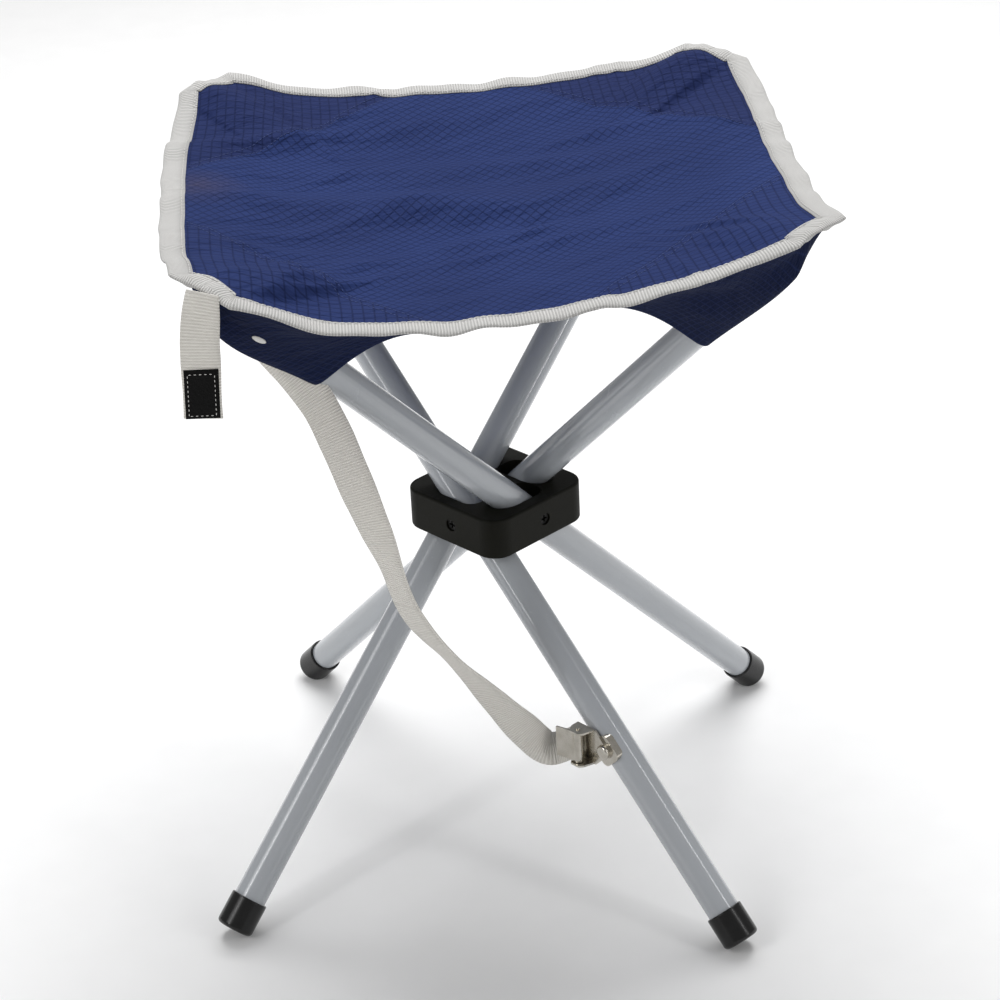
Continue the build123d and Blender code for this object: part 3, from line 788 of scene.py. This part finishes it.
def pocket_wing(number, sign, edge, bottom, inner, outer, columns):
    """Grid, outward normals and UVs of a wing between two distances from the leg, as shares of its span."""
    _, _, out, _, below = leg(number)
    u = np.linspace(0, 1, POCKET_ROWS)[:, None]
    v = inner[:, None] + (outer - inner)[:, None] * np.linspace(0, 1, columns)[None, :]

    def place(u_row, share):
        low, high = bottom[:, None, :], edge[:, None, :]
        point = low + (high - low) * share[..., None]
        eased = (np.hypot(share, WING_ROUND) - WING_ROUND) / (math.hypot(1, WING_ROUND) - WING_ROUND)
        climb = 1 - np.maximum(1 - eased, 0) ** WING_STEEPNESS
        point[..., 2] = low[..., 2] + (high[..., 2] - low[..., 2]) * climb
        fold = np.sin(share * 7 + u_row * 9 * sign + number) * np.sin(u_row * 5 + share * 3)
        fade = np.sin(math.pi * np.clip(share, 0, 1)) * np.sin(math.pi * u_row) ** 0.5
        return point + (fold * fade * 1.6 * MM)[..., None] * below

    grid = place(u, v)
    step = 0.01
    across = place(u, np.minimum(v + step, 1)) - place(u, np.maximum(v - step, 0))
    normal = unit(np.cross(np.gradient(grid, axis=0), across))
    if np.mean(normal @ (sign * out - UP)) < 0:
        normal = -normal
    uv = np.stack(np.broadcast_arrays(sign * v * POCKET_REACH * 0.7, u * POCKET_REACH * 0.75), -1)
    return grid, normal, uv


def make_pocket(number):
    """A pocket's middle, which wraps the tube, and its two wings, all riding on the leg."""
    pin, _, out, up, below = leg(number)
    bottom, along_a, along_b = pocket_lines(number)
    none, full = np.zeros(POCKET_ROWS), np.ones(POCKET_ROWS)
    middle = []
    for edge in (along_a, along_b):
        side = (edge - pin) @ out
        sign = 1 if np.mean(side) > 0 else -1
        split = np.clip(SLEEVE / np.maximum(np.abs(side), 1 * MM), 0, 0.9)
        pieces = {"sleeve": (none, split, SLEEVE_COLUMNS), "wing": (split, full, WING_COLUMNS)}
        side_name = "right" if sign > 0 else "left"
        for kind, (inner, outer, columns) in pieces.items():
            grid, normal, uv = pocket_wing(number, sign, edge, bottom, inner, outer, columns)
            piece = shell(f"pocket_{kind}_{number}_{side_name}", grid, normal, CLOTH, uv, MATERIALS["pocket"])
            if kind == "sleeve":
                middle.append(piece)
                continue
            if (number, sign) == EYELET_WING:
                i, j = EYELET_PLACE
                eyelet = stitched_eyelet(grid[i, j], normal[i, j], unit(grid[i + 1, j] - grid[i - 1, j]))
                piece = join([piece, eyelet], piece.name)
            dress_pocket(piece, number)
            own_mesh(piece)
    middle = join(middle, f"pocket_sleeve_{number}")
    dress_pocket(middle, number)


def stitched_eyelet(place, normal, along):
    """Lens-shaped eyelet of close white stitches."""
    side = unit(np.cross(normal, along))
    rings, count = 6, 28
    long, wide, high = EYELET_SIZE
    tilt = np.linspace(-math.pi / 2, math.pi / 2, rings + 1)[:, None, None]
    angle = (2 * math.pi * np.arange(count) / count)[None, :, None]
    points = (place + np.cos(tilt) * (along * long * np.cos(angle) + side * wide * np.sin(angle))
              + normal * high * np.sin(tilt))
    faces = grid_faces(rings + 1, count, wrap=True)
    return weld(make_mesh("eyelet", points.reshape(-1, 3), faces, MATERIALS["white_thread"]))


def dress_pocket(piece, number):
    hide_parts(f"corner_pocket_{number}")
    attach(piece, f"leg_{number}")


def make_pockets():
    for number in LEG_TOPS:
        make_pocket(number)


# ---------------------------------------------------------------- straps

STRAP_ROUTE = [
    (-163, -118, 404), (-142, -120, 382), (-117, -121, 360), (-98, -123, 330), (-80, -126, 290),
    (-62, -126, 248), (-48, -121, 208), (-29, -114, 174), (-7, -105, 142), (12, -95, 112),
    (24, -86, 92), (33, -82, 90), (40.1, -89.1, 98.0),
]
STRAP_TWIST = [                         # share of the route and degrees from FACING
    (0.0, 80), (0.07, 75), (0.20, 5), (0.28, 0), (0.42, 20), (0.52, 56), (0.60, 52), (0.70, 74), (0.84, 28),
    (0.93, -10), (1.0, -36),
]
STRAP_SWAY = [                          # share of the route and millimetres towards +X
    (0.0, 0), (0.10, 12), (0.20, 16), (0.29, 12), (0.40, 7), (0.50, 3), (0.62, -2), (0.72, 2), (0.82, 0),
    (1.0, 0),
]
SMOOTHING = 27                          # samples that a sway or a twist is averaged over
STRAP_HIDDEN = 0.035                    # share of the route that lies in the seam at its top
STRAP_RISE = 19 * MM                    # of its top end, up to the seam
FACING = np.array([0.0, -0.89, 0.46])   # the strap's face at no twist


def route_points(points, samples=260):
    """Evenly spaced points on the smooth curve that the route's points control."""
    curve = bpy.data.curves.new("route", "CURVE")
    curve.dimensions = "3D"
    spline = curve.splines.new("NURBS")
    spline.points.add(len(points) - 1)
    for point, place in zip(spline.points, points):
        point.co = (*(c * MM for c in place), 1)
    spline.order_u = 3
    spline.use_endpoint_u = True
    spline.resolution_u = 24
    obj = bpy.data.objects.new("route", curve)
    mesh = bpy.data.meshes.new_from_object(obj)
    line = np.array([v.co for v in mesh.vertices])
    bpy.data.objects.remove(obj)
    bpy.data.curves.remove(curve)
    bpy.data.meshes.remove(mesh)
    run = distances(line)
    even = np.linspace(0, run[-1], samples)
    return points_at(even, run, line), even


def smoothed(values, weights):
    """Values averaged over their neighbours, with the ends held."""
    return np.convolve(np.pad(values, SMOOTHING // 2, mode="edge"), weights / weights.sum(), mode="valid")


def ribbon(name, line, across, run):
    """Webbing along a line, with its width along the across vectors."""
    tangent = unit(np.gradient(line, axis=0))
    across = unit(across - tangent * np.sum(across * tangent, 1)[:, None])
    normal = np.cross(tangent, across)
    shape = [(-0.5, 0.0), (-0.485, 0.5), (-0.25, 0.5), (0.0, 0.5), (0.25, 0.5), (0.485, 0.5),
             (0.5, 0.0), (0.485, -0.5), (0.25, -0.5), (0.0, -0.5), (-0.25, -0.5), (-0.485, -0.5)]
    wobble = 0.25 * MM * np.sin(run / (7 * MM)) * np.sin(run / (19 * MM) + 2)
    rings = [line + across * (x * WEBBING_WIDTH + (wobble[:, None] if abs(x) > 0.4 else 0) * np.sign(x))
             + normal * (z * WEBBING_THICKNESS) for x, z in shape]
    grid = np.stack(rings, 1)
    uv_across = np.array([x * WEBBING_WIDTH for x, _ in shape])
    uv = np.stack(np.broadcast_arrays(uv_across[None, :], run[:, None]), -1)
    faces = closed_faces(*grid.shape[:2])
    return make_mesh(name, grid.reshape(-1, 3), faces, MATERIALS["webbing"], uv.reshape(-1, 2))


def make_carry_strap():
    """The strap in two pieces, split where its route passes the height of the legs' pins."""
    line, run = route_points(STRAP_ROUTE)
    share = run / run[-1]
    sway = np.interp(share, *zip(*STRAP_SWAY)) * MM
    line[:, 0] += smoothed(sway, np.ones(SMOOTHING))
    line[:, 2] += STRAP_RISE * np.clip(1 - (share - STRAP_HIDDEN) / 0.12, 0, 1) ** 1.5
    run = distances(line)
    twist = smoothed(np.radians(np.interp(share, *zip(*STRAP_TWIST))), np.hanning(SMOOTHING))
    tangent = unit(np.gradient(line, axis=0))
    flat = unit(np.cross(tangent, FACING))
    across = flat * np.cos(twist)[:, None] + np.cross(tangent, flat) * np.sin(twist)[:, None]
    middle = int(np.argmin(np.abs(line[:, 2] - PIN_HEIGHT)))
    first = int(np.argmax(share > STRAP_HIDDEN))
    parts = {"carry_strap_upper": slice(first, middle + 1), "carry_strap_lower": slice(middle, len(line))}
    for name, part in parts.items():
        piece = ribbon(name, line[part], across[part], run[part])
        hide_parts("carry_strap")
        if name.endswith("upper"):
            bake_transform(piece)
        else:
            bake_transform(piece)


def make_closure_strap():
    """Short strap that hangs from the front left corner, twisted a little under the edge tape."""
    low, high = (np.array(corner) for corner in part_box("closure_strap"))
    centre = (low + high) / 2 - (2.5 * MM, 0, 0)
    drop = np.linspace(0, 1, 60)
    tuck = np.clip(1 - drop / 0.4, 0, 1) ** 1.5
    line = np.stack([centre[0] + (drop - 0.5) * -3 * MM + tuck * 2 * MM,
                     centre[1] + 0.5 * MM * np.sin(drop * 5) + tuck * 5.5 * MM,
                     high[2] - drop * (high[2] - low[2])], 1)
    run = drop * (high[2] - low[2])
    turn = np.radians(32) * tuck
    across = np.stack([np.cos(turn), -np.sin(turn), 0 * turn], 1)
    strap = ribbon("closure_webbing", line, across, run)
    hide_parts("closure_strap")
    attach(strap, "closure")
    make_hook_patch(line, centre[1])


PATCH_EDGE = 1.2 * MM                   # that the patch's rounded edge takes
LIFT = np.array([0, 0.1 * MM, 0])       # of its stitches off the hooks


def make_hook_patch(line, plane):
    """Patch of hook tape sewn to the closure strap, whose line it follows."""
    patch_low, patch_high = (np.array(corner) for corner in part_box("hook_patch"))
    x = np.linspace(patch_low[0], patch_high[0], 10)
    z = np.linspace(patch_high[2], patch_low[2], 14)
    edge_x = np.minimum(x - x[0], x[-1] - x) / PATCH_EDGE
    edge_z = np.minimum(z[0] - z, z - z[-1]) / PATCH_EDGE
    pillow = np.minimum(1, edge_z)[:, None] * np.minimum(1, edge_x)[None, :]
    lean = np.interp(z, line[::-1, 2], line[::-1, 0])
    front = plane - WEBBING_THICKNESS / 2 - (0.5 + 0.9 * pillow) * MM
    grid = np.stack(np.broadcast_arrays(x[None, :] - np.mean(x) + lean[:, None], front, z[:, None]), -1)
    normal = np.broadcast_to([0.0, -1.0, 0.0], grid.shape)
    patch = shell("hook_tape", grid, normal, 0.9 * MM, grid[..., [0, 2]], MATERIALS["hook"])
    border = []
    for seam in (grid[1:-1, 1], grid[1:-1, -2], grid[1, 1:-1], grid[-2, 1:-1]):
        border.append(stitches("border", seam - LIFT, np.tile([0, -1.0, 0], (len(seam), 1)),
                               MATERIALS["white_thread"], pitch=2.6 * MM, length=1.2 * MM, radius=0.2 * MM))
    patch = join([patch] + border, "hook_tape")
    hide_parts("hook_patch")
    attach(patch, "closure")


# ---------------------------------------------------------------- room, light and camera

def make_floor():
    size = 6.0
    mesh = bpy.data.meshes.new("floor")
    corners = [(-size, -size, 0), (size, -size, 0), (size, size, 0), (-size, size, 0)]
    mesh.from_pydata(corners, [], [(0, 1, 2, 3)])
    floor = bpy.data.objects.new("floor", mesh)
    bpy.context.scene.collection.objects.link(floor)
    n = Nodes("floor")
    grain = n.noise(n.place(), 30, 2, 0.5)
    colour = n.ramp(grain, [(0.0, (0.86, 0.86, 0.86)), (1.0, (0.90, 0.90, 0.90))])
    n.set(Specular_IOR_Level=0.1, Roughness=0.9)
    mesh.materials.append(n.finish(colour))


def area_light(name, place, width, height, power):
    """Soft light that faces the stool's middle."""
    light = bpy.data.lights.new(name, "AREA")
    light.energy = power
    light.shape = "RECTANGLE"
    light.size = width
    light.size_y = height
    obj = bpy.data.objects.new(name, light)
    bpy.context.scene.collection.objects.link(obj)
    obj.location = place
    obj.rotation_mode = "QUATERNION"
    obj.rotation_quaternion = (Vector((0, 0, 0.25)) - Vector(place)).to_track_quat("-Z", "Y")


def make_lights():
    bpy.context.scene.view_settings.view_transform = "Standard"
    world = bpy.data.worlds.new("studio")
    world.use_nodes = True
    world.node_tree.nodes["Background"].inputs[0].default_value = (1, 1, 1, 1)
    world.node_tree.nodes["Background"].inputs[1].default_value = 0.34
    bpy.context.scene.world = world
    area_light("top", (0.1, 1.0, 2.2), 1.8, 1.8, 58)
    area_light("key", (-1.4, -1.1, 1.5), 0.9, 0.9, 7)
    area_light("left_strip", (-1.3, -1.2, 0.9), 0.10, 1.5, 4)
    area_light("right_strip", (1.5, -0.9, 0.9), 0.12, 1.5, 6)


def make_camera():
    """The photograph's view: azimuth, elevation, roll, distance and framing."""
    azimuth, elevation, roll = math.radians(0.771), math.radians(27.514), math.radians(-2.633)
    target, distance = Vector((0.0115, 0.0023, 0.2141)), 1.6087
    back = Vector((math.sin(azimuth) * math.cos(elevation), -math.cos(azimuth) * math.cos(elevation),
                   math.sin(elevation)))
    right = (-back).cross(Vector((0, 0, 1))).normalized()
    up = right.cross(-back)
    right, up = (right * math.cos(roll) + up * math.sin(roll), up * math.cos(roll) - right * math.sin(roll))
    camera = bpy.data.objects.new("camera", bpy.data.cameras.new("camera"))
    bpy.context.scene.collection.objects.link(camera)
    camera.data.sensor_width = 36
    camera.data.lens = 98.0
    camera.data.shift_x = -0.0145
    camera.data.shift_y = -0.0058
    camera.data.clip_start, camera.data.clip_end = 0.05, 50
    camera.matrix_world = Matrix((
        (right.x, up.x, back.x, 0), (right.y, up.y, back.y, 0), (right.z, up.z, back.z, 0), (0, 0, 0, 1)))
    camera.location = target + back * distance
    bpy.context.scene.camera = camera


make_camera()
make_carry_strap()
make_floor()
make_lights()
dress_frame()
for quadrant in QUADRANTS:
    make_panel(quadrant)
    make_binding(quadrant)
    make_corner_seams(quadrant)
make_pockets()
make_closure_strap()
